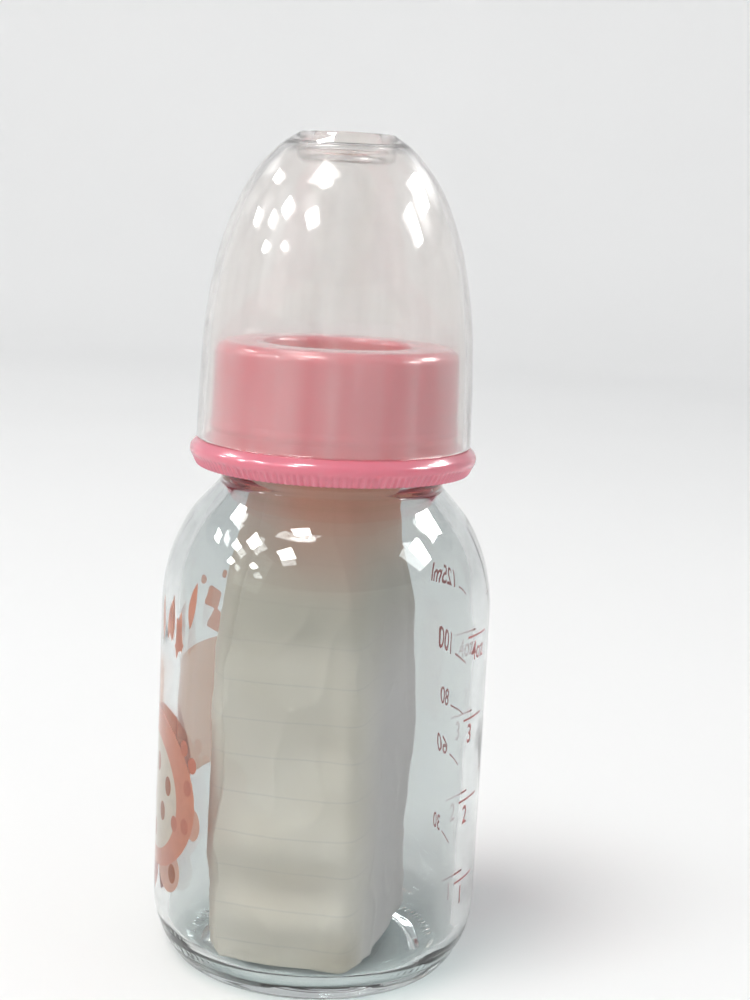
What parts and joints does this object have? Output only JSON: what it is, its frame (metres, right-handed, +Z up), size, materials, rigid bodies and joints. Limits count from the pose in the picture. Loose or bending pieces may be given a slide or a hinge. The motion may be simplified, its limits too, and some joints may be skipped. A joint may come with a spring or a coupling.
{
  "type": "baby feeding bottle",
  "caption": "Small glass baby feeding bottle with a screw collar, a teat stored point down inside the neck, and a clear hood that pulls off.",
  "frame": {"origin": "middle of the base, on the surface that the bottle stands on", "axes": "+Z up along the bottle's axis, -Y towards the plain front, the printed scale at the right and rear"},
  "size_m": [0.057, 0.057, 0.1433],
  "materials": {
    "glass": "clear soda-lime glass, fire polished, faint grey-green tint at the edges",
    "pink_plastic": "glossy moulded polypropylene, salmon pink",
    "silicone": "soft translucent silicone",
    "clear_plastic": "clear, slightly milky moulded polypropylene",
    "paper": "matt off-white paper, folded",
    "red_ink": "screen-printed enamel ink, thin",
    "peach_ink": "screen-printed enamel ink, thin, half transparent"
  },
  "bodies": {
    "bottle": {"glass_bottle": "glass", "paper_insert": "paper"},
    "teat": {"teat": "silicone"},
    "collar": {"screw_collar": "pink_plastic"},
    "hood": {"dome_cap": "clear_plastic"}
  },
  "joints": [
    {"name": "collar_rise", "type": "slide", "parent": "bottle", "child": "teat", "axis": [0, 0, 1], "range_m": [0, 0.0081]},
    {"name": "collar_turn", "type": "hinge", "parent": "teat", "child": "collar", "pos_m": [0, 0, 0.0975], "axis": [0, 0, 1], "range_deg": [0, 720]},
    {"name": "hood_lift", "type": "slide", "parent": "collar", "child": "hood", "axis": [0, 0, 1], "range_m": [0, 0.045]}
  ],
  "couplings": [
    {"joint": "collar_rise", "follows": "collar_turn", "m_per_rad": 0.00063662}
  ]
}
